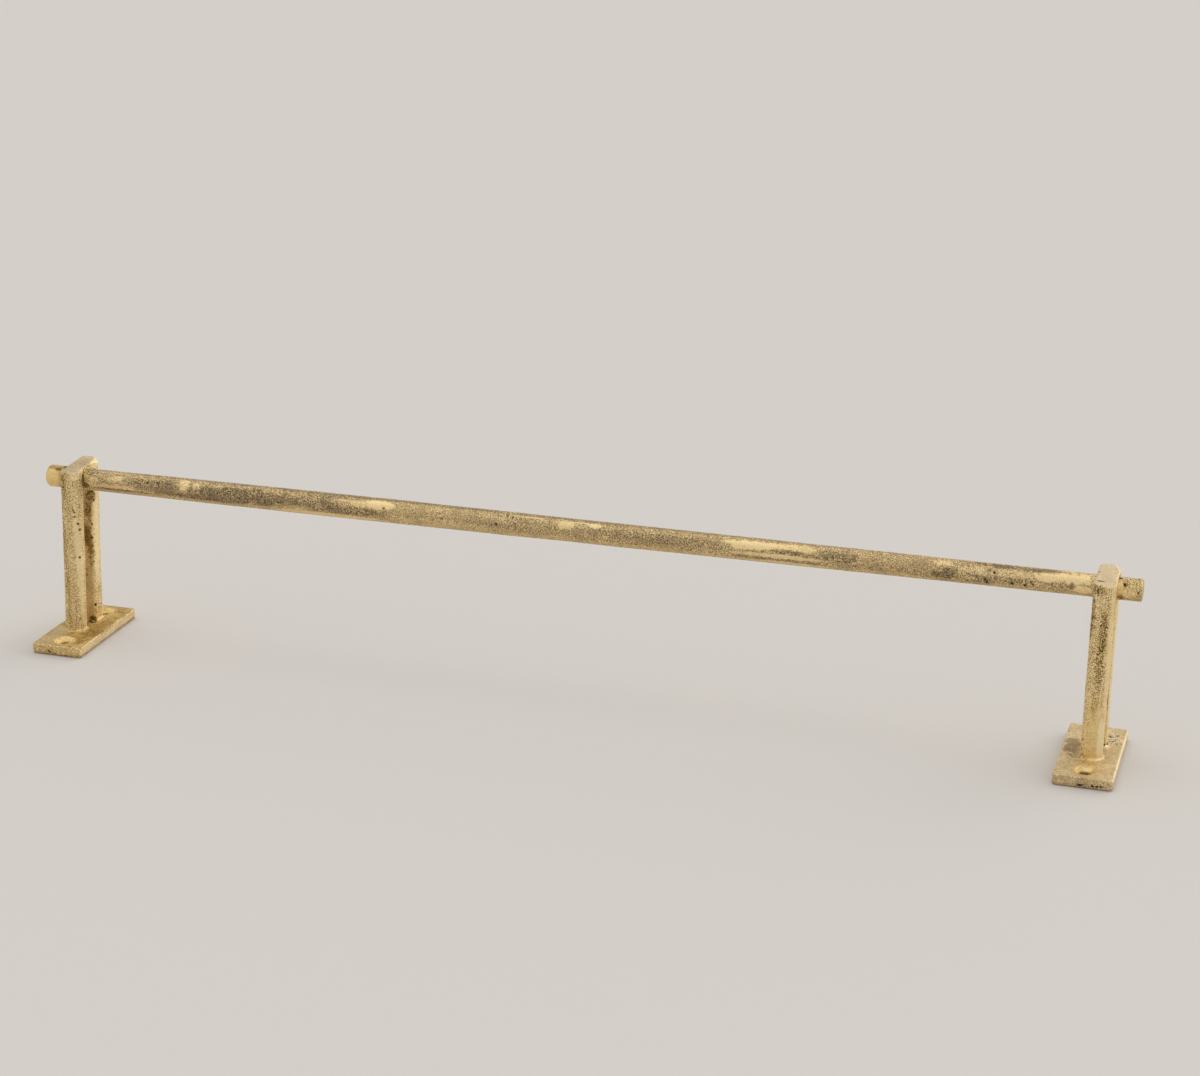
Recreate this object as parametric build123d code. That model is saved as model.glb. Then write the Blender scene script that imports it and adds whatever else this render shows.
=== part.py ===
from build123d import *
import os

# Towel bar in raw cast brass. A round bar is brazed into the eyes of two posts, and each post is one
# casting: a flat wall plate with a narrow hairpin loop standing on it.
# Millimetres. Origin on the wall, midway between the two plates. +X runs along the bar, +Z leaves the wall.

# Wall plates
post_spacing = 457.2
plate_width = 24.0
plate_length = 52.5
plate_thickness = 4.2
plate_corner = 0.9
plate_edge = 0.4

# Screw holes, one near each end of a plate, countersunk from the front
screw_spacing = 37.2
screw_hole = 5.2
countersink = 9.0
countersink_angle = 90.0

# Hairpin loop of a post: two legs with a slot between them, closed by a crown over the bar
leg_width = 8.9
front_leg_depth = 6.8
rear_leg_depth = 8.4
slot_width = 6.8
leg_corner = 2.8
leg_facet = 2.4
facet_round = 1.2
slot_corner = 1.8
foot_fillet = 1.0
left_crown = 1.6
right_crown = 0.7
crown_bevel = 0.8
crown_slope = 3.0
bevel_share = 0.7

# The crown's right corners are taken off by slanting strokes, measured from the corner along X, Y and Z
rear_dress_width = 3.0
rear_dress_length = 9.0
rear_dress_depth = 3.2
front_dress_width = 6.0
front_dress_length = 6.0
front_dress_depth = 1.8

# Each loop leans along the bar as it was cast, in degrees. Its foot stands off the plate's middle along X,
# and its slot's middle off the bar's axis along Y.
left_lean = 2.85
right_lean = 0.85
left_foot_shift = -1.6
right_foot_shift = 0.6
left_slot_shift = 0.0
right_slot_shift = -0.8

# Bar, a little fuller left of its middle than in the eyes, and set back from the plates' middle
bar_height = 74.9
bar_setback = 2.0
bar_diameter = 10.3
fullest_place = -90.0
left_seat_diameter = 9.7
right_seat_diameter = 9.1
left_overhang = 12.7
right_overhang = 15.6
left_end_round = 1.5
right_end_round = 0.7
braze_gap = 0.08

half_spacing = post_spacing / 2
foot_root = plate_thickness / 2
loop_depth = front_leg_depth + slot_width + rear_leg_depth
loop_middle = (rear_leg_depth - front_leg_depth) / 2


def plate():
    """The wall plate, eased at its corners and round its front face."""
    body = extrude(RectangleRounded(plate_width, plate_length, plate_corner), plate_thickness)
    return fillet(body.faces().sort_by(Axis.Z)[-1].edges(), plate_edge)


def dress_corners(section):
    """Round a loop's outer corners in plan. The front right one is dressed to a facet with eased edges."""
    front_right = section.vertices().group_by(Axis.Y)[0].sort_by(Axis.X)[-1]
    section = chamfer(front_right, leg_facet)
    section = fillet(section.vertices().sort_by_distance(front_right)[:2], facet_round)
    rows = section.vertices().group_by(Axis.Y)
    front_left = rows[0].sort_by(Axis.X)[0]
    return fillet([front_left] + rows[-1], leg_corner)


def loop_outline():
    """The whole loop in plan, with the slot's middle line at the origin."""
    return Pos(0, loop_middle) * Rectangle(leg_width, loop_depth)


def leg_sections():
    """Both legs in plan, either side of the slot."""
    sections = loop_outline() - Rectangle(2 * leg_width, slot_width)
    rows = sections.vertices().group_by(Axis.Y)
    return dress_corners(fillet(rows[1] + rows[2], slot_corner))


def dress_crown(body, reach):
    """Take off the crown's right corners: steeply at the rear, and in a shallow facet at the front."""
    rear_edge = (reach.max.X - rear_dress_width, reach.max.Y, reach.max.Z)
    rear_slope = (1 / rear_dress_width, 1 / rear_dress_length, 1 / rear_dress_depth)
    front_edge = (reach.max.X - front_dress_width, reach.min.Y, reach.min.Z)
    front_slope = (1 / front_dress_width, -1 / front_dress_length, 1 / front_dress_depth)
    for edge, slope in ((rear_edge, rear_slope), (front_edge, front_slope)):
        body = split(body, Plane(edge, z_dir=slope), Keep.BOTTOM)
    return body


def loop(lean, foot_shift, slot_shift, eye_radius, crown):
    """The hairpin on its roots in the plate, leaning, then filed flat at the top and bevelled round it."""
    rise = bar_height - plate_thickness
    top = bar_height + eye_radius + crown
    legs = Pos(0, 0, -foot_root) * extrude(leg_sections(), foot_root + rise)
    closed_end = Pos(0, 0, rise) * extrude(dress_corners(loop_outline()), top - rise)
    foot = Pos(foot_shift, bar_setback + slot_shift, plate_thickness)
    blank = foot * Rot(0, lean, 0) * (legs + closed_end)
    file_stroke = Plane(origin=(0, bar_setback, top)).rotated((crown_slope, 0, 0))
    filed = split(blank, file_stroke, Keep.BOTTOM)
    crown_face = filed.faces().sort_by(Axis.Z)[-1]
    bevel = min(crown_bevel, bevel_share * min(crown, facet_round))
    return dress_crown(chamfer(crown_face.edges(), bevel), crown_face.bounding_box())


def post(lean, foot_shift, slot_shift, seat_diameter, crown):
    """One casting: plate, hairpin loop, foot fillets, the eye for the bar and the screw holes."""
    eye_radius = seat_diameter / 2 + braze_gap
    body = plate() + loop(lean, foot_shift, slot_shift, eye_radius, crown)
    front_face = body.faces().filter_by(Axis.Z).sort_by(SortBy.AREA)[-2]
    body = fillet(front_face.inner_wires().edges(), foot_fillet)
    eye = Cylinder(eye_radius, 2 * plate_width, rotation=(0, 90, 0))
    body -= Pos(0, bar_setback, bar_height) * eye
    hole = CounterSinkHole(screw_hole / 2, countersink / 2, plate_thickness, countersink_angle)
    for side in (-1, 1):
        body -= Pos(0, side * screw_spacing / 2, plate_thickness) * hole
    return body


def bar():
    """The round bar, with a straight seat at each post and a long taper from there to its fullest place."""
    left_end = -half_spacing - left_overhang
    right_end = half_spacing + right_overhang
    left_seat = (-half_spacing + plate_width / 2, left_seat_diameter / 2)
    right_seat = (half_spacing - plate_width / 2, right_seat_diameter / 2)
    fullest = (fullest_place, bar_diameter / 2)
    outline = Polyline((left_end, 0), (left_end, left_seat[1]), left_seat, fullest,
                       right_seat, (right_end, right_seat[1]), (right_end, 0), close=True)
    body = revolve(Plane.XZ * make_face(outline), Axis.X)
    for end, end_round in ((0, left_end_round), (-1, right_end_round)):
        rim = body.edges().filter_by(GeomType.CIRCLE).group_by(Axis.X)[end]
        body = fillet(rim, end_round)
    return Pos(0, bar_setback, bar_height) * body


left_post = post(left_lean, left_foot_shift, left_slot_shift, left_seat_diameter, left_crown)
right_post = post(right_lean, right_foot_shift, right_slot_shift, right_seat_diameter, right_crown)
nodes = {
    "left_post": Pos(-half_spacing, 0) * left_post,
    "right_post": Pos(half_spacing, 0) * right_post,
    "bar": bar(),
}
os.makedirs("parts", exist_ok=True)
for name, solid in nodes.items():
    export_step(solid, f"parts/{name}.step")
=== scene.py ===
import math
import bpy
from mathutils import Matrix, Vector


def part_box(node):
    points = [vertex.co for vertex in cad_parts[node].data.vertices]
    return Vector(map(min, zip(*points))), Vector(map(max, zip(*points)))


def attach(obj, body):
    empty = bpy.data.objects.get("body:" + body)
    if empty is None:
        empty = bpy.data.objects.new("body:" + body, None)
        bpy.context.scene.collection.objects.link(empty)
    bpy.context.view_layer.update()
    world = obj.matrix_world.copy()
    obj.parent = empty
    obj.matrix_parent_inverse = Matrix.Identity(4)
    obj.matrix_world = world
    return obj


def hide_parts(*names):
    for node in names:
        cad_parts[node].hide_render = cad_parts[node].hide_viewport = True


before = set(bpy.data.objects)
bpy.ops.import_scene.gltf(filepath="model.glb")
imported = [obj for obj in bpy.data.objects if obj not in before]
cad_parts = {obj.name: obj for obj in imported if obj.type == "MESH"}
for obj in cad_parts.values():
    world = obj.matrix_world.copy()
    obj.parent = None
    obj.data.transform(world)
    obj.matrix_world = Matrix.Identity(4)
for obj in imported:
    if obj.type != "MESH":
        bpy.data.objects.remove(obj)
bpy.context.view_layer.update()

from types import SimpleNamespace

import bmesh
import bpy
import numpy as np
from mathutils import Quaternion, Vector, noise

# Towel bar in raw cast brass. The posts and the bar are finely meshed from the CAD solids and given the
# marks of casting, filing, patina and wear, along with painted shade and painted highlights in places.
# Places and sizes are millimetres in the CAD frame.

MM = 0.001

# Camera
CAMERA_PLACE = (0.32419, -0.93609, 0.42739)
CAMERA_LOOK = (-0.29093, 0.89492, -0.33834)
CAMERA_ROLL = -0.21
LENS = 74.76
SENSOR = 36.0

# Colour of the floor and of the wall far off, as 8-bit sRGB
BACKGROUND = (211, 206, 200)

# Light: the share that comes evenly from all round, the share of a wide lamp that stands left of the middle
# and a little behind it, and a soft panel far off at the right and behind, with the angles where it is full
# and where it ends
EVEN_LIGHT = 0.775
LAMP_SHARE = 0.09
LAMP_LEFT = math.radians(20)
LAMP_BACK = math.radians(3)
LAMP_SPREAD = math.radians(30)
PANEL_LIGHT = 1.55
PANEL_WAY = (0.68, 0.70, 0.22)
PANEL_FULL = math.radians(14)
PANEL_END = math.radians(50)

# Far off, a wall of the floor's colour rises to the first of these slopes and is gone at the second
WALL_TOP = 0.03
SKY_START = 0.13

# Half the floor's side, in metres, and how far it lies below the plates, which are cast and touch a floor
# only here and there
FLOOR_HALF = 6.0
FLOOR_GAP = 0.5

# Mesh fineness. The steps that remeshing leaves are smoothed, fully on the loops and partly on the plates.
# The bar's rings lie closer together near its ends, which smaller rings close.
WELD = 0.001
POST_CELL = 0.32
SMOOTHING_PASSES = 2
PLATE_SMOOTHING = 0.3
BAR_STEP = 0.45
BAR_SIDES = 76
END_ZONE = 1.2
END_STEPS = 9
CAP_RINGS = (0.85, 0.65, 0.45, 0.25)

# The way that the front of the part faces. Patina and wear are seeded on the faces turned away from it.
FRONT_WAY = (0.28, -0.90, 0.34)

# The noise of each seed starts this far from the noise of the one before. The bar's seeds begin here, and
# the posts' with their finish.
SEED_STEP = (7.3, 3.1, 5.7)
BAR_SEED = 21

# Parts of a post
PLATE_TOP = 4.2
CROWN_HEIGHT = 77.0
COUNTERSINK_RADIUS = 4.5
BORE_RADIUS = 2.6
SCREW_OFFSET = 18.6
SLOT_HALF = 3.3
SLOT_SHIFT = 1.7

# Where a part of a post begins and where it is full: heights, distances from an axis or middle plane, and
# how squarely the surface faces one way, from -1 to 1
LOOP_HEIGHT = (PLATE_TOP + 0.1, PLATE_TOP + 0.8)
PLATE_HEIGHT = (PLATE_TOP + 0.9, PLATE_TOP + 0.3)
PLATE_FOOT_HEIGHT = (1.3, 0.5)
CROWN_RISE = (CROWN_HEIGHT, CROWN_HEIGHT + 1.0)
BORE_HEIGHT = (2.0, 1.0)
BORE_REACH = (BORE_RADIUS + 0.5, BORE_RADIUS + 0.1)
COUNTERSINK_REACH = (COUNTERSINK_RADIUS + 0.4, COUNTERSINK_RADIUS)
SLOT_WALL_REACH = (SLOT_HALF + 2.0, SLOT_HALF + 1.0)
FACING_UP = (0.75, 0.95)
FACING_DOWN = (-0.6, -0.9)
FACING_SIDEWAYS = (0.6, 0.3)
FACING_FORWARD = (0.5, 0.9)
CROWN_FACING = (0.5, 0.75)
FACING_AWAY = (0.15, -0.25)

# The patina and painted shade in a slot end in a wavy line with a frayed edge: size and height of the waves
# and of the fraying, the width of the edge, and the heights between which a clean foot narrows it
SLOT_STRETCH = (1, 1, 0.5)
SLOT_WAVE = 3.6
SLOT_WAVE_HEIGHT = 1.3
SLOT_FRAY = 1.3
SLOT_FRAY_HEIGHT = 0.5
SLOT_EDGE = 0.8
CLEAN_FOOT = (40.0, 8.0)

# Edges and hollows of a post stand this far out of their surroundings or back from them, after smoothing
STANDING_PASSES = 12
STANDING = (0.05, 0.16)

# Unevenness of the cast skin: the sizes of long swells, lumps and grain, and how far each stands out
POST_BUMPS = (15.0, 4.6, 1.25)
POST_RISES = (0.14, 0.06, 0.03)
BAR_BUMPS = (11.0, 4.2, 1.2)
BAR_RISES = (0.11, 0.05, 0.03)
BAR_STRETCH = (0.4, 1, 1)

# How much of that is taken away on the plates and crowns, by filing, and by rubbing on the bar
PLATE_CALM = 0.6
CROWN_CALM = 0.8
FILED_LUMPS = 0.8
FILED_GRAIN = 0.9
RUBBED_LUMPS = 0.6
RUBBED_GRAIN = 0.8

# The edges of marks wobble: size and height of the waves, and the height of the grain in them. On the
# plates they also have streaks across, and the stains and painted shade of the bar wobble more.
POST_WOBBLE = 2.2
BAR_WOBBLE = 2.4
WOBBLE_HEIGHT = 0.30
POST_WOBBLE_GRAIN = 0.16
BAR_WOBBLE_GRAIN = 0.18
PLATE_STREAK = 1.1
PLATE_STREAK_STRETCH = (0.2, 1, 1)
PLATE_STREAK_HEIGHT = 0.4
BAR_STAIN_AND_SHADE_WOBBLE = 1.4

# Marks and pores fade between these shares of their own half size. Small pores come in crowds.
MARK_EDGE = (1.3, 0.6)
BAR_MARK_EDGE = (1.2, 0.8)
PORE_WALL = (1.0, 0.2)
PORE_SHADE = (1.15, 0.5)
SMALL_PORE_SIZE = 0.95
SMALL_PORE_EDGE = (0.28, 0.45)
SMALL_PORE_DEPTH = 0.3
SMALL_PORE_SHADE = 0.85

# Wear and patina on the hidden faces of the posts: size of the patches, their ragged edge, and the noise
# levels where they begin and are full
HIDDEN_STRETCH = (1, 1, 0.4)
WORN_SIZE = 6.0
WORN_RAGGED = 0.3
WORN_LEVELS = (0.12, 0.40)
AGED_SIZE = 7.5
AGED_RAGGED = 0.4
AGED_LEVELS = (0.10, 0.42)

# Wear and patina on the bar's back, in streaks: the angles of the back, sizes of the long and short streaks
# with the share of the short ones, the noise levels where they begin and are full, and their strength
BACK_START = (148, 172)
BACK_END = (345, 325)
STREAK_STRETCH = (0.13, 1, 1)
STREAK_RAGGED = 0.5
BACK_WORN = (4.6, 3.2, 0.6)
BACK_WORN_LEVELS = (0.24, 0.52)
BACK_WORN_SHARE = 0.9
BACK_AGED = (6.0, 4.0, 0.5)
BACK_AGED_LEVELS = (0.0, 0.5)
BACK_AGED_SHARE = 0.8

# How far each part of a post is filed smooth, darkened with stain and painted shade, rubbed bright, filed
# pale, yellow and brushed
FILED = {"crown": 1.0, "plate_top": 0.92, "plate_side": 0.7, "countersink": 0.9, "underside": 0.8,
         "slot_wall": 0.8}
FILED_HIDDEN = {"hidden": 0.3, "worn": 0.5}
# The slot's darkening is patina and painted shade, and the plate's front faces and the feet of its sides
# are painted shade.
STAINED_AND_SHADED = {"slot": 1.2, "hollow": 0.3, "aged": 0.8, "crown": 0.25, "plate_front": 0.4, "plate_foot": 1.0}
RUBBED = {"edge": 0.3, "worn": 0.8}
PALE = {"crown": 0.9}
YELLOW = {"slot": 0.6, "countersink": 0.7}
BRUSHED = {"plate_top": 1.0, "crown": 0.6}

# Crowds of small pores roughen filed metal. Countersinks stay clean of patina and are polished in patches.
# Bores are painted dark with shade, rubbed metal is smooth, stains and painted shade dull it, and the bar's
# ends are smooth too.
CROWDED = (0.7, 1.0)
CROWDED_ROUGH = 0.9
COUNTERSINK_CLEAN = 0.8
POLISH_SIZE = 2.6
POLISH_LEVELS = (-0.35, 0.35)
BORE_PAINTED_SHADE = 0.8
POST_RUBBED_SMOOTH = 0.7
BAR_RUBBED_SMOOTH = 0.8
POST_STAIN_AND_SHADE_DULLS = 0.6
BAR_STAIN_AND_SHADE_DULLS = 0.5
BAR_END_SMOOTH = 0.8

# Pores of the castings: place, radius or half sizes, and depth
LEFT_PORES = [
    ((-223.9, -6.6, 56.2), 0.65, 0.7),
    ((-223.5, -6.0, 53.2), 0.7, 0.8),
    ((-224.5, -6.4, 40.1), 0.65, 0.7),
    ((-225.2, -7.9, 63.2), 0.5, 0.4),
    ((-224.6, -7.7, 61.8), 0.45, 0.35),
    ((-225.4, 6.3, 12.3), 0.95, 1.0),
    ((-224.4, 5.5, 45.4), 0.7, 0.6),
    ((-224.5, 6.0, 33.6), 0.5, 0.5),
    ((-224.0, 5.6, 52.0), 0.6, 0.5),
    ((-222.8, 6.2, 67.5), 0.7, 0.6),
    ((-222.7, 7.6, 66.0), 0.6, 0.5),
    ((-223.0, 5.6, 64.4), 0.7, 0.6),
    ((-222.8, 6.9, 63.2), 0.55, 0.5),
    ((-232.4, -26.2, 1.4), (0.75, 0.6, 0.5), 0.5),
    ((-231.4, -26.2, 1.0), 0.5, 0.4),
]
RIGHT_PORES = [
    ((227.6, -26.2, 0.8), (1.4, 0.8, 0.5), 0.5),
    ((232.6, -26.2, 0.9), (1.0, 0.6, 0.4), 0.45),
    ((234.4, -26.2, 1.0), (0.9, 0.6, 0.45), 0.45),
    ((236.0, -26.2, 1.1), (0.9, 0.6, 0.4), 0.45),
    ((233.4, 4.9, 5.4), (0.9, 0.9, 0.7), 0.9),
    ((234.1, 8.6, 4.8), (0.5, 1.7, 0.7), 0.7),
    ((234.2, 16.8, 4.2), 0.7, 0.4),
    ((237.0, 18.3, 4.2), 0.6, 0.4),
    ((235.8, 12.4, 4.2), (0.8, 0.5, 0.5), 0.4),
    ((228.3, -5.5, 79.8), (1.9, 0.6, 0.8), 0.6),
    ((226.4, 3.6, 80.2), (1.0, 0.4, 0.5), 0.3),
]

# Dark patina on the castings, and painted shade at the foot between the left post's legs: place, half sizes
# along x, y and z, and strength
LEFT_STAINS_AND_SHADE = [
    ((-229.6, -8.0, 73.5), (1.9, 3.0, 6.5), 1.4),
    ((-230.6, -7.4, 38.0), (1.2, 3.0, 38.0), 0.6),
    ((-227.0, 2.0, 81.0), (6.0, 13.0, 3.0), 0.85),
    ((-228.0, -8.6, 66.0), (2.6, 2.6, 9.0), 0.35),
    ((-223.8, 6.0, 65.0), (2.4, 2.8, 3.0), 1.4),
    ((-225.0, 4.6, 60.0), (3.0, 1.6, 6.0), 1.2),
    ((-238.4, -3.0, 4.2), (2.4, 9.0, 1.6), 0.55),
    ((-236.2, -9.0, 4.2), (1.6, 5.0, 1.6), 0.4),
    ((-221.3, 14.5, 4.2), (3.0, 3.6, 1.6), 0.55),
    ((-222.4, 5.0, 4.2), (1.6, 4.0, 1.4), 0.45),
    # Painted shade in the hollow at the foot between the legs
    ((-226.6, 4.6, 5.2), (3.0, 2.2, 2.0), 1.6),
    ((-225.0, -13.0, 4.2), (3.6, 8.0, 1.2), 0.9),
    ((-220.4, 0.0, 4.2), (4.4, 22.0, 1.2), 1.15),
]
RIGHT_STAINS = [
    ((231.0, -9.0, 60.0), (1.7, 2.5, 8.0), 1.3),
    ((230.3, -9.0, 45.0), (1.5, 2.5, 11.0), 1.0),
    ((229.6, -9.0, 30.0), (1.4, 2.5, 8.0), 0.6),
    ((228.2, -8.8, 77.0), (2.8, 2.5, 2.0), 1.4),
    ((226.2, -7.8, 67.0), (1.3, 2.6, 11.0), 1.4),
    ((220.8, 4.0, 4.2), (3.8, 9.0, 1.6), 1.5),
    ((222.6, -5.5, 4.2), (3.2, 4.2, 1.6), 0.8),
    ((218.6, -12.0, 4.2), (1.6, 6.0, 1.6), 0.6),
    ((224.2, 1.0, 4.6), (1.6, 5.0, 1.6), 0.9),
    ((233.2, 18.5, 4.0), (1.6, 2.6, 1.2), 0.8),
    ((236.4, 14.0, 4.2), (3.0, 6.5, 1.4), 0.35),
]

# Metal rubbed bright on the castings, and painted highlights on the crown facets, the foot fillets, a low
# facet of the right post, the right plate's right edge and the far wall of a bore: place, half sizes and
# strength
LEFT_BRIGHT = [
    # Painted highlights on two facets of the crown
    ((-224.2, -6.9, 78.6), (2.0, 2.2, 1.7), 1.0),
    ((-222.2, 8.2, 79.8), (1.3, 3.6, 2.0), 1.0),
    # Painted highlight on the front foot's fillet
    ((-226.2, -7.6, 4.8), (1.7, 1.4, 0.9), 1.0),
    ((-223.4, 8.5, 32.0), (1.5, 3.6, 36.0), 0.8),
    ((-224.8, -6.9, 34.0), (1.4, 2.0, 38.0), 0.7),
    ((-223.6, 9.0, 5.4), (3.0, 4.0, 1.4), 0.3),
]
RIGHT_BRIGHT = [
    # Painted highlight on a low facet of the front leg
    ((232.6, -7.7, 12.5), (1.5, 2.0, 11.0), 1.3),
    # Painted highlight along the plate's right edge
    ((240.4, 0.0, 3.7), (0.7, 30.0, 1.2), 1.0),
    # Painted highlight on the front foot's fillet
    ((231.0, -9.7, 4.8), (3.6, 1.3, 0.9), 1.0),
    ((233.9, -7.2, 45.0), (1.1, 2.0, 34.0), 0.75),
    ((234.6, 8.0, 40.0), (1.4, 6.0, 38.0), 0.8),
    ((227.4, -8.6, 14.0), (1.8, 2.2, 10.0), 0.5),
    ((229.0, -9.2, 18.0), (3.6, 2.6, 16.0), 0.55),
    # Painted highlight on the far wall of the front bore
    ((229.2, -15.6, 2.6), (2.4, 1.2, 1.4), 1.0),
]

# Metal filed to a pale tan, and painted light on the right sides of the plates: place, half sizes and
# strength
LEFT_PALE = [
    ((-236.5, -16.0, 4.2), (4.5, 11.0, 1.6), 0.45),
    # Painted light on the plate's right side
    ((-216.6, 0.0, 2.2), (0.8, 30.0, 3.0), 0.6),
]
RIGHT_PALE = [
    ((236.6, -4.0, 4.2), (4.2, 24.0, 1.6), 0.5),
    # Painted light on the plate's right side
    ((240.6, 0.0, 2.2), (0.8, 30.0, 3.4), 1.0),
    ((220.0, -16.0, 4.2), (4.0, 8.0, 1.6), 0.3),
]

# Places on the castings with a crowd of small pores: place, half sizes and strength
LEFT_PITTED = [
    ((-223.2, 6.4, 65.0), (2.2, 2.6, 3.2), 1.0),
    ((-225.4, -7.6, 61.0), (1.6, 1.8, 4.0), 0.8),
    ((-223.4, 6.2, 42.0), (1.3, 1.3, 12.0), 0.6),
]
RIGHT_PITTED = [
    ((236.0, 14.0, 4.2), (3.4, 6.0, 1.4), 1.0),
    ((233.0, -26.2, 1.0), (5.0, 1.0, 0.7), 1.0),
    ((220.6, -5.0, 4.2), (3.4, 4.0, 1.4), 0.7),
]

# Clean yellow metal on the castings: place, half sizes and strength
LEFT_GOLD = [
    ((-224.4, -10.0, 4.6), (5.0, 4.0, 2.0), 0.8),
    ((-224.0, 12.0, 5.0), (3.0, 5.0, 2.0), 0.7),
    ((-223.4, 7.4, 9.0), (2.6, 3.2, 6.0), 0.7),
    ((-221.4, 3.0, 4.2), (5.0, 24.0, 1.4), 0.7),
]
RIGHT_GOLD = [
    ((228.4, -9.0, 12.0), (3.4, 3.0, 16.0), 0.5),
    ((229.4, -10.0, 5.0), (6.0, 3.0, 2.0), 0.8),
    ((229.2, -18.6, 3.4), (5.2, 5.2, 2.0), 0.8),
]

# Smooth places on the castings: place, half sizes and strength
LEFT_SMOOTH = [
    ((-224.4, -6.8, 34.0), (1.8, 2.4, 40.0), 0.9),
    ((-223.2, 9.0, 40.0), (1.6, 4.5, 42.0), 0.7),
]
RIGHT_SMOOTH = [
    ((231.0, -8.6, 14.0), (4.5, 3.0, 18.0), 1.0),
    ((233.8, -7.2, 45.0), (1.4, 2.2, 36.0), 0.8),
]

# Marks on the bar: place along it, angle from its top towards the front, half length, half angle, strength.
# First the metal rubbed bright, and painted light along the lower front of the whole bar.
BAR_BRIGHT = [
    (-172.4, 46, 2.7, 30, 0.72),
    (-166.6, 48, 1.7, 20, 0.8),
    (-205.0, 58, 5.5, 18, 0.65),
    (-205.0, 98, 9.0, 12, 0.6),
    (-217.0, 84, 2.4, 30, 0.4),
    (-118.0, 104, 6.5, 14, 0.9),
    (-103.0, 130, 27.0, 16, 0.9),
    (-79.5, 46, 6.5, 24, 1.0),
    (-88.0, 50, 5.0, 17, 0.7),
    (-96.5, 40, 3.0, 7, 0.6),
    (-50.0, 40, 26.0, 34, 0.08),
    (-50.0, 108, 30.0, 20, 0.3),
    (-10.0, 25, 7.5, 6, 0.6),
    (5.0, 45, 3.7, 25, 0.75),
    (12.0, 26, 7.0, 6, 0.6),
    (18.0, 34, 3.0, 12, 0.9),
    (23.2, 88, 1.3, 9, 0.6),
    (14.5, 88, 1.4, 9, 0.4),
    (90.0, 46, 16.0, 20, 1.0),
    (84.0, 64, 8.0, 14, 0.9),
    (104.0, 42, 9.0, 22, 0.75),
    (97.0, 92, 20.0, 10, 0.9),
    (98.0, 132, 20.0, 10, 0.8),
    (165.0, 34, 4.0, 16, 0.5),
    (190.0, 56, 20.0, 16, 0.4),
    (208.0, 54, 6.0, 26, 0.9),
    (217.0, 42, 8.0, 36, 1.0),
    (221.0, 101, 3.8, 19, 1.0),
    (239.0, 94, 3.0, 24, 0.9),
    (236.0, 70, 1.0, 36, 0.7),
    (241.0, 50, 2.6, 30, 0.3),
    (-238.0, 105, 4.2, 48, 0.8),
    (-238.5, 52, 3.2, 22, 0.5),
    # Painted light along the lower front of the whole bar
    (0.0, 128, 250.0, 16, 0.28),
]

# Dark patina on the bar, and painted shade where the left post's front leg and bead shade it and along the
# top of the whole bar
BAR_STAINS_AND_SHADE = [
    # Painted shade where the left post's front leg and braze bead shade the bar
    (-221.9, 72, 0.9, 30, 1.5),
    (-218.8, 24, 3.0, 30, 0.6),
    (-221.2, 106, 1.9, 17, 1.7),
    (-193.0, 62, 10.0, 20, 0.45),
    (-186.0, 84, 10.0, 18, 0.45),
    (-182.0, 70, 8.0, 40, 0.5),
    (-204.0, 115, 14.0, 6, 0.8),
    (-160.0, 104, 22.0, 18, 0.7),
    (-144.0, 70, 23.0, 40, 0.8),
    (-114.0, 78, 17.0, 34, 0.5),
    (-108.0, 20, 14.0, 26, 0.4),
    (-94.0, 92, 18.0, 20, 0.55),
    (-98.0, 8, 20.0, 12, 0.6),
    (-25.0, 82, 14.0, 12, 0.25),
    (48.0, 70, 30.0, 26, 0.35),
    (122.0, 62, 9.0, 28, 0.55),
    (101.0, 66, 8.0, 11, 0.8),
    (85.5, 75, 2.6, 4, 0.8),
    (98.0, 114, 20.0, 8, 0.45),
    (165.5, 98, 5.0, 18, 0.9),
    (168.0, 74, 3.4, 18, 0.75),
    (196.0, 14, 20.0, 17, 0.8),
    (190.0, 88, 20.0, 9, 0.4),
    (172.0, 120, 14.0, 16, 0.4),
    (217.0, 86, 0.9, 18, 0.9),
    (236.0, 122, 1.2, 16, 0.9),
    (-235.4, 30, 1.7, 12, 1.2),
    (-232.2, 10, 1.2, 30, 1.6),
    (-238.5, 22, 2.6, 14, 0.4),
    # Painted shade darkening the top of the whole bar
    (-40.0, -4, 190.0, 22, 0.5),
]

# Places on the bar with a coarse skin, a smooth one, and clean yellow metal
BAR_COARSE = [
    (-219.6, 50, 3.4, 95, 0.7),
    (240.6, 60, 3.4, 75, 0.8),
]
BAR_SMOOTH = [
    (-237.5, 70, 6.0, 120, 1.0),
    (-52.0, 70, 30.0, 75, 0.35),
    (148.0, 70, 16.0, 70, 0.35),
    (236.4, 75, 2.4, 60, 0.7),
]
BAR_GOLD = [
    (-237.5, 70, 7.5, 150, 0.6),
    (-220.6, 76, 2.4, 60, 0.6),
    (235.6, 80, 2.0, 50, 0.8),
    (239.5, 75, 4.0, 60, 0.4),
]

# Pores of the bar: place along it, angle, radius and depth
BAR_PORES = [
    (-231.7, 4, 1.1, 0.3),
    (-231.9, 14, 0.8, 0.3),
    (-25.5, 80, 0.65, 0.7),
    (-50.0, 80, 0.5, 0.4),
    (-21.2, 28, 0.5, 0.4),
    (-18.6, 36, 0.5, 0.4),
    (-77.0, 61, 0.6, 0.4),
    (-190.0, 56, 0.6, 0.5),
    (186.0, 58, 0.7, 0.6),
    (182.5, 101, 0.7, 0.6),
    (183.2, 115, 0.7, 0.6),
    (193.2, 106, 0.8, 0.6),
    (198.4, 109, 0.7, 0.6),
    (237.3, 48, 0.7, 0.4),
    (237.5, 55, 0.6, 0.4),
    (235.2, 10, 0.7, 0.6),
]

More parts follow.
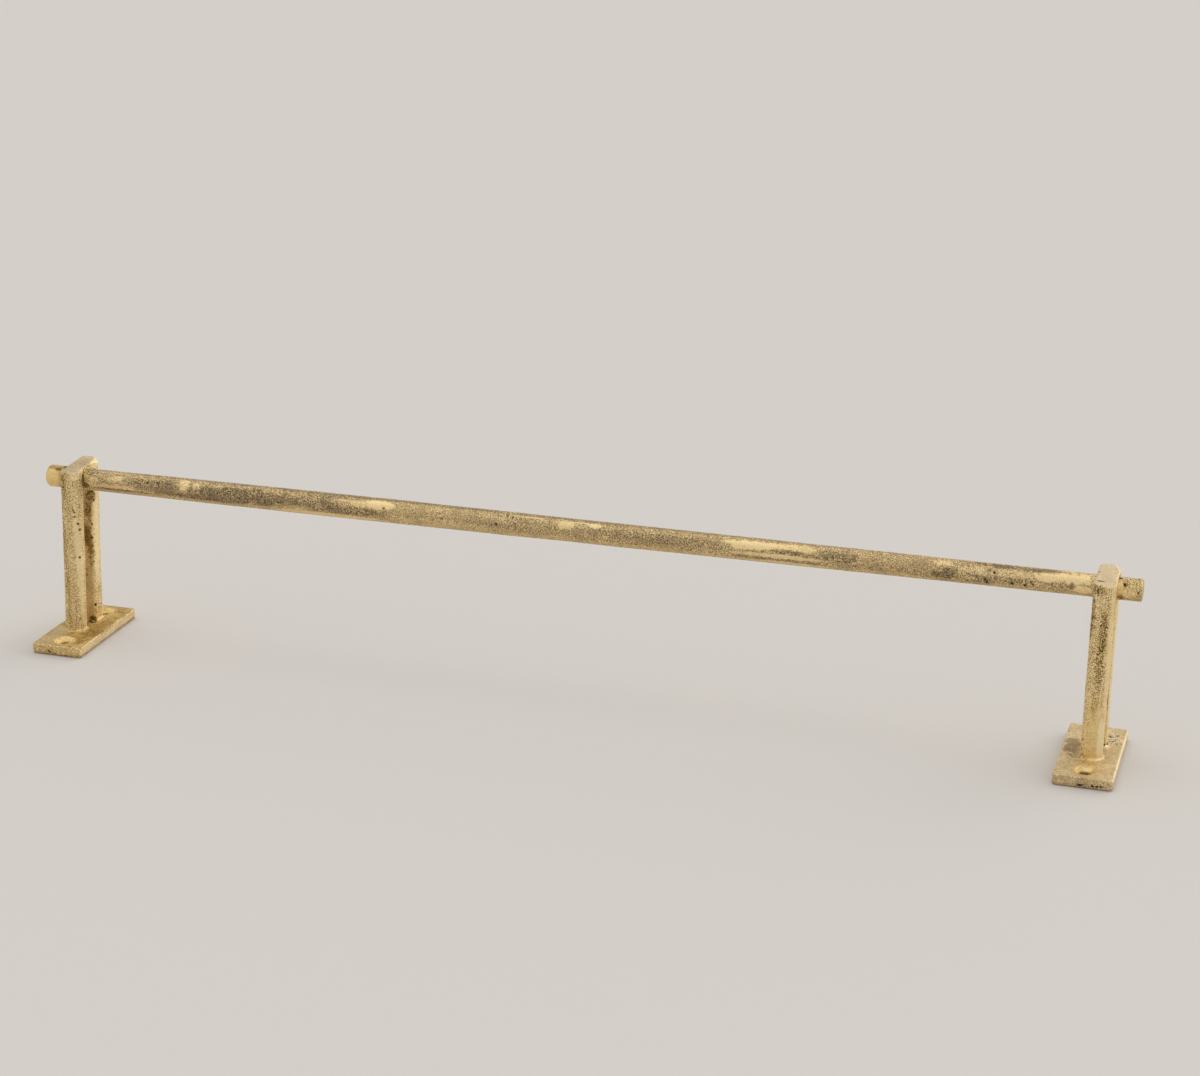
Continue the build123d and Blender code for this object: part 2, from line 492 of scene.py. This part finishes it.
# Stretches of the bar with a crowd of small pores: place along it, angle, half length, half angle, strength
BAR_PITTED = [
    (-193.0, 58, 9.0, 15, 0.9),
    (-204.0, 70, 5.0, 10, 0.6),
    (140.0, 101, 12.0, 8, 0.8),
    (184.0, 54, 5.0, 14, 0.8),
    (193.0, 104, 12.0, 10, 1.0),
    (102.0, 66, 7.0, 9, 0.8),
    (-23.0, 34, 5.0, 12, 0.7),
]

# Brazing metal at the four faces that the bar passes through: place, the way out of the post, angle of the
# fullest part, its half angle, height and reach
BRAZE = [
    (-231.1, -1, 60, 60, 0.4, 0.9),
    (-222.2, 1, 10, 75, 1.5, 2.6),
    (225.8, -1, 40, 70, 0.5, 1.3),
    (234.7, 1, 78, 40, 0.9, 1.3),
]

# A bead's least height all round and where its fullest part fades, as shares, how fast it falls off, how
# far it starts inside the post, how lumpy it is, the height where it covers the bar, and how smooth and
# bright it is
BRAZE_LEAST = 0.2
BRAZE_EDGE = (1.3, 0.3)
BRAZE_FALL = 0.6
BRAZE_ROOT = 0.6
BRAZE_LUMPS = 0.4
BRAZE_FULL = 0.5
BRAZE_SMOOTH = 0.4
BRAZE_BRIGHT = 0.25

# The two castings' own marks and finish. Slot reach is how far the slot's patina and painted shade spread
# past its edges, and foot clean how much less they do at the foot.
LEFT_FINISH = SimpleNamespace(
    seed=1, pores=LEFT_PORES, pitted=LEFT_PITTED, stains=LEFT_STAINS_AND_SHADE, bright=LEFT_BRIGHT, pale=LEFT_PALE,
    gold=LEFT_GOLD, smooth=LEFT_SMOOTH, plate_dullness=0.78, plate_paleness=0.0, countersink_polish=0.6,
    slot_reach=0.8, foot_clean=0.8)
RIGHT_FINISH = SimpleNamespace(
    seed=11, pores=RIGHT_PORES, pitted=RIGHT_PITTED, stains=RIGHT_STAINS, bright=RIGHT_BRIGHT,
    pale=RIGHT_PALE, gold=RIGHT_GOLD, smooth=RIGHT_SMOOTH, plate_dullness=0.5, plate_paleness=0.6,
    countersink_polish=0.0, slot_reach=-0.2, foot_clean=0.0)


def linear(colour):
    """An 8-bit sRGB colour as the linear values that shaders take."""
    return tuple(((c / 255 + 0.055) / 1.055) ** 2.4 for c in colour)


def rgba(colour):
    return linear(colour) + (1.0,)


def waves(points, size, seed):
    """Smooth noise between about -1 and 1 at each point, with bumps of the given size."""
    shift = Vector([seed * step for step in SEED_STEP])
    return np.array([noise.noise(Vector(p) / size + shift) for p in points])


def soft_step(low, high, value):
    """A smooth change from 0 at the first limit to 1 at the second, which may be the lower one."""
    t = np.clip((value - low) / (high - low), 0, 1)
    return t * t * (3 - 2 * t)


def strongest(*covers):
    """The strongest of several covers at each point."""
    return np.maximum.reduce(covers)


def placed(name, data):
    """A new object in the scene."""
    made = bpy.data.objects.new(name, data)
    bpy.context.scene.collection.objects.link(made)
    return made


def read_points(mesh):
    """A mesh's points and normals as arrays, the points in millimetres."""
    points = np.empty(len(mesh.vertices) * 3)
    normals = np.empty(len(mesh.vertices) * 3)
    mesh.vertices.foreach_get("co", points)
    mesh.vertex_normals.foreach_get("vector", normals)
    return points.reshape(-1, 3) / MM, normals.reshape(-1, 3)


def write_points(mesh, points):
    mesh.vertices.foreach_set("co", (points * MM).ravel())
    mesh.update()


def write_values(mesh, **values):
    """Store one number at each point under each name, for the materials."""
    for name, value in values.items():
        layer = mesh.attributes.new(name, "FLOAT", "POINT")
        layer.data.foreach_set("value", value.astype(np.float32))


def relaxed(mesh, points, passes):
    """The points after a number of passes towards the mean of their neighbours."""
    edges = np.empty(len(mesh.edges) * 2, dtype=np.int64)
    mesh.edges.foreach_get("vertices", edges)
    a, b = edges.reshape(-1, 2).T
    count = np.bincount(np.r_[a, b], minlength=len(points))[:, None]
    for _ in range(passes):
        total = np.zeros_like(points)
        np.add.at(total, a, points[b])
        np.add.at(total, b, points[a])
        points = 0.5 * points + 0.5 * total / count
    return points


def pitted(points, crowded, seed, pores):
    """Depth of the pores at each point, and how much each point is inside one.

    Crowded places have many small pores. The other pores are given by each point's distance from them, in
    shares of their own size, and their depth.
    """
    small = crowded * soft_step(*SMALL_PORE_EDGE, waves(points, SMALL_PORE_SIZE, seed))
    depth = SMALL_PORE_DEPTH * small
    inside = SMALL_PORE_SHADE * small
    for away, deep in pores:
        depth = np.maximum(depth, deep * soft_step(*PORE_WALL, away))
        inside = np.maximum(inside, soft_step(*PORE_SHADE, away))
    return depth, inside


def show(piece, node, material):
    """Put a finished piece in place of its CAD node."""
    piece.data.materials.clear()
    piece.data.materials.append(material)
    piece.data.shade_smooth()
    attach(piece, "root")
    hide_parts(node)


# Posts

def dense_copy(node):
    """A fine closed mesh of a CAD solid, as a new object."""
    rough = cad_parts[node].data.copy()
    welded = bmesh.new()
    welded.from_mesh(rough)
    bmesh.ops.remove_doubles(welded, verts=welded.verts, dist=WELD * MM)
    welded.to_mesh(rough)
    welded.free()
    holder = placed(node + "_source", rough)
    remesh = holder.modifiers.new("Remesh", "REMESH")
    remesh.mode = "VOXEL"
    remesh.voxel_size = POST_CELL * MM
    graph = bpy.context.evaluated_depsgraph_get()
    fine = bpy.data.meshes.new_from_object(holder.evaluated_get(graph))
    bpy.data.objects.remove(holder)
    return placed(node + "_cast", fine)


def smooth_steps(mesh):
    """Smooth away the steps that remeshing leaves, and less on the plate, which keeps its edges."""
    points, _ = read_points(mesh)
    share = PLATE_SMOOTHING + (1 - PLATE_SMOOTHING) * soft_step(*LOOP_HEIGHT, points[:, 2])
    points += (relaxed(mesh, points, SMOOTHING_PASSES) - points) * share[:, None]
    write_points(mesh, points)


def spread(points, marks, wobble):
    """How strongly a list of marks covers each point. Their edges are broken up by the wobble."""
    cover = np.zeros(len(points))
    for place, half, strength in marks:
        away = np.linalg.norm((points - place) / half, axis=1) + wobble
        cover = np.maximum(cover, strength * soft_step(*MARK_EDGE, away))
    return cover


def screw_regions(points, middle):
    """How much each point belongs to the countersinks and to the bores below them."""
    countersink = np.zeros(len(points))
    bore = np.zeros(len(points))
    for side in (-1, 1):
        across = np.hypot(points[:, 0] - middle[0], points[:, 1] - side * SCREW_OFFSET)
        deep = soft_step(*BORE_HEIGHT, points[:, 2]) * soft_step(*BORE_REACH, across)
        countersink = np.maximum(countersink, soft_step(*COUNTERSINK_REACH, across))
        bore = np.maximum(bore, deep)
    return countersink, bore


def post_regions(mesh, points, normals, middle, finish):
    """How much each point belongs to each part of a post, from 0 to 1."""
    height = points[:, 2]
    up = normals[:, 2]
    plate = soft_step(*PLATE_HEIGHT, height)
    plate_side = plate * soft_step(*FACING_SIDEWAYS, np.abs(up))
    crown = soft_step(*CROWN_RISE, height) * soft_step(*CROWN_FACING, up)
    loop = (1 - plate) * (1 - crown)
    countersink, bore = screw_regions(points, middle)
    countersink = countersink * plate

    from_slot = np.abs(points[:, 1] - middle[1] - SLOT_SHIFT)
    slot_wall = loop * soft_step(*SLOT_WALL_REACH, from_slot)
    # Patina in the slot, with painted shade in it, ending in a wavy frayed line
    from_slot += SLOT_WAVE_HEIGHT * waves(points * SLOT_STRETCH, SLOT_WAVE, finish.seed + 8)
    from_slot += SLOT_FRAY_HEIGHT * waves(points, SLOT_FRAY, finish.seed + 9)
    slot_end = SLOT_HALF + finish.slot_reach - finish.foot_clean * soft_step(*CLEAN_FOOT, height)
    slot = loop * soft_step(slot_end, slot_end - SLOT_EDGE, from_slot)

    hidden = soft_step(*FACING_AWAY, normals @ np.array(FRONT_WAY)) * (1 - slot) * (1 - countersink)
    standing = ((points - relaxed(mesh, points, STANDING_PASSES)) * normals).sum(1)
    return {
        "plate": plate,
        "plate_top": plate * soft_step(*FACING_UP, up),
        "plate_side": plate_side,
        # Painted shade on the plate's front faces and along the feet of its sides
        "plate_front": plate_side * soft_step(*FACING_FORWARD, -normals[:, 1]),
        "plate_foot": plate_side * soft_step(*PLATE_FOOT_HEIGHT, height),
        "underside": plate * soft_step(*FACING_DOWN, up),
        "crown": crown,
        "countersink": countersink,
        "bore": bore,
        "slot_wall": slot_wall,
        "slot": slot,
        "hidden": hidden,
        "edge": soft_step(*STANDING, standing) * (1 - plate),
        "hollow": soft_step(*STANDING, -standing) * (1 - crown),
    }


def shares(part, table, names=None):
    """Regions of a post, each times its share in a table: all that the table has, or some of them."""
    return [table[name] * part[name] for name in names or table]


def make_post(node, material, finish):
    """One casting: a fine mesh with its uneven skin and pores, and the look of its metal at each point."""
    piece = dense_copy(node)
    mesh = piece.data
    low, high = (np.array(corner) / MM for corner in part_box(node))
    smooth_steps(mesh)
    points, normals = read_points(mesh)
    seed = finish.seed
    part = post_regions(mesh, points, normals, (low + high) / 2, finish)

    # The skin as cast, the wobble of marks' edges, and patina and wear on the faces that the front hides
    broad, lumps, grain = [waves(points, size, seed + i) for i, size in enumerate(POST_BUMPS)]
    ragged = WOBBLE_HEIGHT * waves(points, POST_WOBBLE, seed + 3) + POST_WOBBLE_GRAIN * grain
    streaks = waves(points * PLATE_STREAK_STRETCH, PLATE_STREAK, seed + 7)
    ragged += PLATE_STREAK_HEIGHT * part["plate_top"] * streaks
    long_points = points * HIDDEN_STRETCH
    worn = waves(long_points, WORN_SIZE, seed + 5) + WORN_RAGGED * ragged
    aged = waves(long_points, AGED_SIZE, seed + 6) + AGED_RAGGED * ragged
    part["worn"] = part["hidden"] * soft_step(*WORN_LEVELS, worn)
    part["aged"] = part["hidden"] * soft_step(*AGED_LEVELS, aged)

    # Where the skin is smooth, and the pores
    crowded = spread(points, finish.pitted, ragged)
    filed = strongest(sum(shares(part, FILED)), sum(shares(part, FILED_HIDDEN)),
                      spread(points, finish.smooth, ragged))
    filed = np.clip(filed, 0, 1) * (1 - CROWDED_ROUGH * soft_step(*CROWDED, crowded))
    pores = [(np.linalg.norm((points - place) / radius, axis=1), deep)
             for place, radius, deep in finish.pores]
    depth, inside = pitted(points, crowded, seed + 4, pores)

    broad_rise, lump_rise, grain_rise = POST_RISES
    raised = broad_rise * broad * (1 - PLATE_CALM * part["plate"]) * (1 - CROWN_CALM * part["crown"])
    raised += lump_rise * lumps * (1 - FILED_LUMPS * filed) + grain_rise * grain * (1 - FILED_GRAIN * filed)
    points = points + normals * (raised * (1 - part["underside"]) - depth)[:, None]
    write_points(mesh, np.clip(points, low, high))

    # The look of the metal
    # Stains, with painted shade in the slot, on the plate's front faces, along the feet of its sides and in
    # the listed shade marks
    stain = strongest(spread(points, finish.stains, ragged), sum(shares(part, STAINED_AND_SHADED, ("slot", "hollow"))),
                      finish.plate_dullness * part["plate_top"], *shares(part, STAINED_AND_SHADED, ("aged", "crown")))
    stain = strongest(stain * (1 - COUNTERSINK_CLEAN * part["countersink"]),
                      *shares(part, STAINED_AND_SHADED, ("plate_front", "plate_foot")))
    polish = finish.countersink_polish * soft_step(*POLISH_LEVELS, waves(points, POLISH_SIZE, seed + 10))
    # Rubbed metal, with the listed painted highlights
    rubbed = strongest(spread(points, finish.bright, ragged), polish * part["countersink"],
                       *shares(part, RUBBED))
    write_values(
        mesh,
        rubbed=rubbed * (1 - POST_STAIN_AND_SHADE_DULLS * stain),
        stain=stain,
        filed=np.maximum(filed, POST_RUBBED_SMOOTH * rubbed),
        # Pores, and bores painted dark with shade
        pore=np.maximum(inside, BORE_PAINTED_SHADE * part["bore"]),
        pale=strongest(spread(points, finish.pale, ragged), finish.plate_paleness * part["plate"],
                       *shares(part, PALE)),
        gold=strongest(spread(points, finish.gold, ragged), *shares(part, YELLOW)),
        brushed=strongest(*shares(part, BRUSHED)),
    )
    show(piece, node, material)


# Bar

def bar_profile():
    """Places along the bar, the CAD bar's radius at each, and the middle line's y and z."""
    points, _ = read_points(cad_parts["bar"].data)
    low, high = points.min(0), points.max(0)
    axis = (low[1:] + high[1:]) / 2
    radius = np.hypot(points[:, 1] - axis[0], points[:, 2] - axis[1])
    places, ring = np.unique(points[:, 0].round(2), return_inverse=True)
    outer = np.zeros(len(places))
    np.maximum.at(outer, ring, radius)
    left = np.linspace(low[0], low[0] + END_ZONE, END_STEPS)
    right = np.linspace(high[0] - END_ZONE, high[0], END_STEPS)
    count = int((right[0] - left[-1]) / BAR_STEP)
    x = np.r_[left, np.linspace(left[-1], right[0], count)[1:-1], right]
    return x, np.interp(x, places, outer), axis


def turned(angle, start):
    """The angle from a start, between -180 and 180 degrees."""
    return (angle - start + 180) % 360 - 180


def bar_cover(along, angle, marks, wobble):
    """How strongly the bar's marks cover each point."""
    cover = np.zeros(len(along))
    for place, at, half, half_angle, strength in marks:
        away = np.hypot((along - place) / half, turned(angle, at) / half_angle) + wobble
        cover = np.maximum(cover, strength * soft_step(*BAR_MARK_EDGE, away))
    return cover


def braze_beads(along, angle):
    """Height of the brazing metal at each point of the bar."""
    bead = np.zeros(len(along))
    for face, way, at, half_angle, tall, reach in BRAZE:
        out = (along - face) * way
        fullest = soft_step(*BRAZE_EDGE, np.abs(turned(angle, at)) / half_angle)
        full = BRAZE_LEAST + (1 - BRAZE_LEAST) * fullest
        swell = tall * full * np.exp(-np.maximum(out, 0) / (BRAZE_FALL * reach))
        bead = np.maximum(bead, np.where(out > -BRAZE_ROOT, swell, 0))
    return bead


def streaked(points, ragged, sizes, seed):
    """Noise in long streaks along the bar, with shorter ones among them and ragged edges."""
    long_size, short_size, short_share = sizes
    long_streaks = waves(points * STREAK_STRETCH, long_size, seed)
    short_streaks = waves(points * BAR_STRETCH, short_size, seed + 2)
    return long_streaks + short_share * short_streaks + STREAK_RAGGED * ragged


def tube(name, points, rings, ends):
    """A closed mesh over rings of points, with one more point in the middle of each end."""
    index = np.arange(len(points)).reshape(rings, BAR_SIDES)
    after = np.roll(index, -1, axis=1)
    faces = np.stack([index[:-1], after[:-1], after[1:], index[1:]], -1).reshape(-1, 4).tolist()
    first, last = len(points), len(points) + 1
    faces += [(int(b), int(a), first) for a, b in zip(index[0], after[0])]
    faces += [(int(a), int(b), last) for a, b in zip(index[-1], after[-1])]
    mesh = bpy.data.meshes.new(name)
    mesh.from_pydata((np.r_[points, ends] * MM).tolist(), [], faces)
    mesh.validate()
    mesh.update()
    turning = bmesh.new()
    turning.from_mesh(mesh)
    bmesh.ops.recalc_face_normals(turning, faces=turning.faces)
    turning.to_mesh(mesh)
    turning.free()
    return mesh


def make_bar(material):
    """The bar: rings of points with its uneven skin, pores and beads of brazing metal, and its look."""
    x, radius, axis = bar_profile()
    caps = len(CAP_RINGS)
    inner = np.array(CAP_RINGS)
    ring_x = np.r_[np.full(caps, x[0]), x, np.full(caps, x[-1])]
    ring_radius = np.r_[radius[0] * inner[::-1], radius, radius[-1] * inner]
    around = np.radians(np.arange(BAR_SIDES) * 360 / BAR_SIDES + 180)
    along = np.repeat(ring_x, BAR_SIDES)
    thick = np.repeat(ring_radius, BAR_SIDES)
    turn = np.tile(around, len(ring_x))
    angle = np.degrees(turn) % 360
    outward = np.c_[np.zeros(len(along)), -np.sin(turn), np.cos(turn)]
    points = outward * thick[:, None] + np.c_[along, np.full((len(along), 2), axis)]
    wall = soft_step(0, END_ZONE, np.minimum(along - x[0], x[-1] - along))

    # The skin as cast, bright and dark marks, and wear and patina in streaks along the back
    broad_size, lump_size, grain_size = BAR_BUMPS
    broad = waves(points * BAR_STRETCH, broad_size, BAR_SEED)
    lumps = waves(points, lump_size, BAR_SEED + 1)
    grain = waves(points, grain_size, BAR_SEED + 2)
    ragged = WOBBLE_HEIGHT * waves(points, BAR_WOBBLE, BAR_SEED + 3) + BAR_WOBBLE_GRAIN * grain
    behind = soft_step(*BACK_START, angle) * soft_step(*BACK_END, angle)
    worn = soft_step(*BACK_WORN_LEVELS, streaked(points, ragged, BACK_WORN, BAR_SEED + 5))
    aged = soft_step(*BACK_AGED_LEVELS, streaked(points, ragged, BACK_AGED, BAR_SEED + 6))
    # Rubbed metal, with painted light along the bar's lower front
    rubbed = strongest(bar_cover(along, angle, BAR_BRIGHT, ragged), BACK_WORN_SHARE * behind * worn)
    # Stains, with painted shade by the left post and along the bar's top
    stain = strongest(bar_cover(along, angle, BAR_STAINS_AND_SHADE, BAR_STAIN_AND_SHADE_WOBBLE * ragged),
                      BACK_AGED_SHARE * behind * aged)

    # Pores and beads
    pores = [(np.hypot(along - place, np.radians(turned(angle, at)) * thick) / size, deep)
             for place, at, size, deep in BAR_PORES]
    crowded = bar_cover(along, angle, BAR_PITTED, ragged)
    depth, inside = pitted(points, crowded, BAR_SEED + 4, pores)
    bead = braze_beads(along, angle)
    broad_rise, lump_rise, grain_rise = BAR_RISES
    raised = broad_rise * broad + lump_rise * lumps * (1 - RUBBED_LUMPS * rubbed)
    raised += grain_rise * grain * (1 - RUBBED_GRAIN * rubbed)
    raised = (raised - depth) * wall + bead * (1 + BRAZE_LUMPS * lumps)
    ends = [(x[0], *axis), (x[-1], *axis)]
    mesh = tube("bar_cast", points + outward * raised[:, None], len(ring_x), ends)
    piece = placed("bar_cast", mesh)

    braze = np.clip(bead / BRAZE_FULL, 0, 1)
    filed = strongest(BAR_RUBBED_SMOOTH * rubbed, BAR_END_SMOOTH * (1 - wall), BRAZE_SMOOTH * braze,
                      bar_cover(along, angle, BAR_SMOOTH, ragged))
    look = {
        "rubbed": np.maximum(rubbed, BRAZE_BRIGHT * braze) * (1 - BAR_STAIN_AND_SHADE_DULLS * stain),
        "stain": stain,
        "filed": filed - bar_cover(along, angle, BAR_COARSE, ragged),
        "pore": inside,
        "gold": bar_cover(along, angle, BAR_GOLD, ragged),
        "pale": np.zeros(len(along)),
        "brushed": np.zeros(len(along)),
    }
    write_values(mesh, **{name: np.r_[value, np.zeros(len(ends))] for name, value in look.items()})
    show(piece, "bar", material)


# Materials

# Noise textures of the brass: size of the bumps, detail and roughness
GRAIN_TEXTURE = (0.48, 2.0, 0.6)
FINE_TEXTURE = (0.25, 1.0, 0.5)
BLOTCH_TEXTURE = (8.0, 3.0, 0.55)
BRUSH_TEXTURE = (0.32, 2.0, 0.6)
BRUSH_STRETCH = (0.14, 1.0, 1.0)

# How much they and the marks move the level that picks a colour from the ramps
FINE_SHARE = 0.4
FILED_CALM = -0.75
BLOTCH_UNEVEN = 1.6
BRUSH_SHARE = 0.8
RUBBED_AND_HIGHLIGHT_LIFT = 0.29
STAIN_AND_SHADE_DROP = -0.30

# Roughness of the metal, and its fine relief
METAL_ROUGHNESS = 0.68
RUBBED_SHINE = -0.08
FINE_ROUGHNESS = 0.12
RELIEF_STRENGTH = 0.45
RELIEF_DEPTH = 0.16
RELIEF_BRUSH = 0.4

# Colours of each level, from dark patina to bright metal: on the posts, on the bar, filed pale and yellow
POST_RAMP = [
    (0.0, (84, 65, 36)),
    (0.22, (152, 123, 71)),
    (0.45, (210, 181, 121)),
    (0.70, (236, 212, 157)),
    (1.0, (248, 231, 190)),
]
BAR_RAMP = [
    (0.0, (88, 75, 54)),
    (0.25, (143, 125, 96)),
    (0.50, (189, 166, 127)),
    (0.75, (240, 213, 156)),
    (1.0, (248, 231, 186)),
]
TAN_RAMP = [
    (0.0, (148, 126, 92)),
    (0.5, (212, 192, 156)),
    (1.0, (240, 224, 192)),
]
GOLD_RAMP = [
    (0.0, (92, 68, 28)),
    (0.3, (170, 136, 70)),
    (0.6, (224, 193, 120)),
    (1.0, (248, 226, 166)),
]
PORE_BLACK = (34, 28, 20)
WHITE = (255, 255, 255)

# Places of the share and the colours among the sockets of a mix node
MIX_SHARE = 0
MIX_FIRST = 6
MIX_SECOND = 7
MIX_RESULT = 2


def add(tree, kind, inputs=None, **settings):
    """A shader node, its settings, and its inputs as values or links."""
    made = tree.nodes.new("ShaderNode" + kind)
    for name, value in settings.items():
        setattr(made, name, value)
    for socket, value in (inputs or {}).items():
        if isinstance(value, bpy.types.NodeSocket):
            tree.links.new(value, made.inputs[socket])
        else:
            made.inputs[socket].default_value = value
    return made


def maths(tree, operation, *values):
    """The output of a maths node on values or sockets."""
    return add(tree, "Math", dict(enumerate(values)), operation=operation).outputs[0]


def value_at_points(tree, name):
    return add(tree, "Attribute", attribute_name=name).outputs["Fac"]


def noise_texture(tree, place, size, detail, roughness):
    """Noise with bumps of the given size in millimetres, centred on zero."""
    inputs = {"Vector": place, "Scale": 1 / (size * MM), "Detail": detail, "Roughness": roughness}
    made = add(tree, "TexNoise", inputs)
    return maths(tree, "SUBTRACT", made.outputs["Fac"], 0.5)


def mixed(tree, share, first, second):
    """One colour turning into another as the share goes from 0 to 1."""
    mix = add(tree, "Mix", data_type="RGBA")
    tree.links.new(share, mix.inputs[MIX_SHARE])
    for socket, value in ((mix.inputs[MIX_FIRST], first), (mix.inputs[MIX_SECOND], second)):
        if isinstance(value, bpy.types.NodeSocket):
            tree.links.new(value, socket)
        else:
            socket.default_value = rgba(value)
    return mix.outputs[MIX_RESULT]


def coloured(tree, level, ramp):
    """The colour of each level between 0 and 1."""
    shades = add(tree, "ValToRGB", {"Fac": level})
    stops = shades.color_ramp.elements
    for i, (at, shade) in enumerate(ramp):
        stop = stops[i] if i < len(stops) else stops.new(at)
        stop.position = at
        stop.color = rgba(shade)
    return shades.outputs["Color"]


def cast_brass(name, tone, contrast, mottle, ramp):
    """Raw cast brass. Low grain and stains are dark with patina, painted shade is dark too, and rubbed
    places and painted highlights are bright.

    Tone is the level of plain metal. Contrast is the strength of its speckle, and mottle of its blotches.
    """
    material = bpy.data.materials.new(name)
    material.use_nodes = True
    tree = material.node_tree
    tree.nodes.clear()
    place = add(tree, "TexCoord").outputs["Object"]
    rubbed = value_at_points(tree, "rubbed")
    stain = value_at_points(tree, "stain")
    filed = value_at_points(tree, "filed")
    pore = value_at_points(tree, "pore")
    pale = value_at_points(tree, "pale")

    grain = noise_texture(tree, place, *GRAIN_TEXTURE)
    fine = noise_texture(tree, place, *FINE_TEXTURE)
    blotch = noise_texture(tree, place, *BLOTCH_TEXTURE)
    stretched = add(tree, "Mapping", {"Vector": place, "Scale": BRUSH_STRETCH}).outputs[0]
    brushed = noise_texture(tree, stretched, *BRUSH_TEXTURE)

    uneven = maths(tree, "MULTIPLY_ADD", blotch, BLOTCH_UNEVEN, 1.0)
    rough_share = maths(tree, "MULTIPLY", maths(tree, "MULTIPLY_ADD", filed, FILED_CALM, 1.0), uneven)
    speckle = maths(tree, "MULTIPLY", maths(tree, "MULTIPLY_ADD", fine, FINE_SHARE, grain), rough_share)
    lines = maths(tree, "MULTIPLY", brushed, value_at_points(tree, "brushed"))
    level = maths(tree, "MULTIPLY_ADD", speckle, contrast, tone)
    level = maths(tree, "MULTIPLY_ADD", lines, BRUSH_SHARE, level)
    level = maths(tree, "MULTIPLY_ADD", blotch, mottle, level)
    # Rubbed places and painted highlights lift the level, stains and painted shade lower it
    level = maths(tree, "MULTIPLY_ADD", rubbed, RUBBED_AND_HIGHLIGHT_LIFT, level)
    level = maths(tree, "MULTIPLY_ADD", stain, STAIN_AND_SHADE_DROP, level)
    colour = mixed(tree, pale, coloured(tree, level, ramp), coloured(tree, level, TAN_RAMP))
    colour = mixed(tree, value_at_points(tree, "gold"), colour, coloured(tree, level, GOLD_RAMP))
    # Pores, and bores painted dark with shade
    colour = mixed(tree, pore, colour, PORE_BLACK)

    roughness = maths(tree, "MULTIPLY_ADD", rubbed, RUBBED_SHINE, METAL_ROUGHNESS)
    roughness = maths(tree, "MULTIPLY_ADD", fine, FINE_ROUGHNESS, roughness)
    height = maths(tree, "MULTIPLY_ADD", lines, RELIEF_BRUSH, speckle)
    relief = {"Strength": RELIEF_STRENGTH, "Distance": RELIEF_DEPTH * MM, "Height": height}
    bump = add(tree, "Bump", relief)
    shader = add(tree, "BsdfPrincipled", {
        "Base Color": colour,
        "Metallic": 1.0,
        "Roughness": roughness,
        "Normal": bump.outputs["Normal"],
    })
    end = add(tree, "OutputMaterial")
    tree.links.new(shader.outputs[0], end.inputs["Surface"])
    return material


# Stage

def make_floor():
    corners = [(-FLOOR_HALF, -FLOOR_HALF), (FLOOR_HALF, -FLOOR_HALF),
               (FLOOR_HALF, FLOOR_HALF), (-FLOOR_HALF, FLOOR_HALF)]
    mesh = bpy.data.meshes.new("floor")
    mesh.from_pydata([(x, y, -FLOOR_GAP * MM) for x, y in corners], [], [(0, 1, 2, 3)])
    floor = placed("floor", mesh)
    material = bpy.data.materials.new("floor_paint")
    material.use_nodes = True
    shader = material.node_tree.nodes["Principled BSDF"]
    shader.inputs["Base Color"].default_value = rgba(BACKGROUND)
    shader.inputs["Roughness"].default_value = 1.0
    shader.inputs["Specular IOR Level"].default_value = 0.0
    mesh.materials.append(material)


def make_light():
    """Even light all round, a far soft panel and a wide lamp overhead, together about 1 on the floor."""
    scene = bpy.context.scene
    scene.world = bpy.data.worlds.new("studio")
    scene.world.use_nodes = True
    tree = scene.world.node_tree
    way = add(tree, "TexCoord").outputs["Generated"]
    inputs = {0: way, 1: tuple(Vector(PANEL_WAY).normalized())}
    facing = add(tree, "VectorMath", inputs, operation="DOT_PRODUCT").outputs["Value"]
    reach = {"Value": facing, "From Min": math.cos(PANEL_END), "From Max": math.cos(PANEL_FULL)}
    panel = add(tree, "MapRange", reach, interpolation_type="SMOOTHSTEP").outputs["Result"]
    slope = add(tree, "SeparateXYZ", {0: way}).outputs["Z"]
    rise = {"Value": slope, "From Min": WALL_TOP, "From Max": SKY_START}
    sky = add(tree, "MapRange", rise, interpolation_type="SMOOTHSTEP").outputs["Result"]
    background = tree.nodes["Background"]
    tree.links.new(mixed(tree, sky, BACKGROUND, WHITE), background.inputs["Color"])
    strength = maths(tree, "MULTIPLY_ADD", panel, PANEL_LIGHT, EVEN_LIGHT - 1)
    tree.links.new(maths(tree, "MULTIPLY_ADD", sky, strength, 1.0), background.inputs["Strength"])
    lamp = bpy.data.lights.new("overhead", "SUN")
    lamp.energy = math.pi * LAMP_SHARE / math.cos(LAMP_LEFT)
    lamp.angle = LAMP_SPREAD
    overhead = placed("overhead", lamp)
    overhead.rotation_euler = (-LAMP_BACK, -LAMP_LEFT, 0)


def make_camera():
    data = bpy.data.cameras.new("camera")
    data.sensor_fit = "HORIZONTAL"
    data.sensor_width = SENSOR
    data.lens = LENS
    camera = placed("camera", data)
    camera.location = CAMERA_PLACE
    look = Vector(CAMERA_LOOK).to_track_quat("-Z", "Y")
    camera.rotation_mode = "QUATERNION"
    camera.rotation_quaternion = look @ Quaternion((0, 0, 1), math.radians(CAMERA_ROLL))
    bpy.context.scene.camera = camera


bpy.context.scene.view_settings.view_transform = "Standard"
post_brass = cast_brass("cast_brass_post", tone=0.66, contrast=3.8, mottle=0.55, ramp=POST_RAMP)
bar_brass = cast_brass("cast_brass_bar", tone=0.53, contrast=2.2, mottle=0.28, ramp=BAR_RAMP)
make_post("left_post", post_brass, LEFT_FINISH)
make_post("right_post", post_brass, RIGHT_FINISH)
make_bar(bar_brass)
make_floor()
make_light()
make_camera()
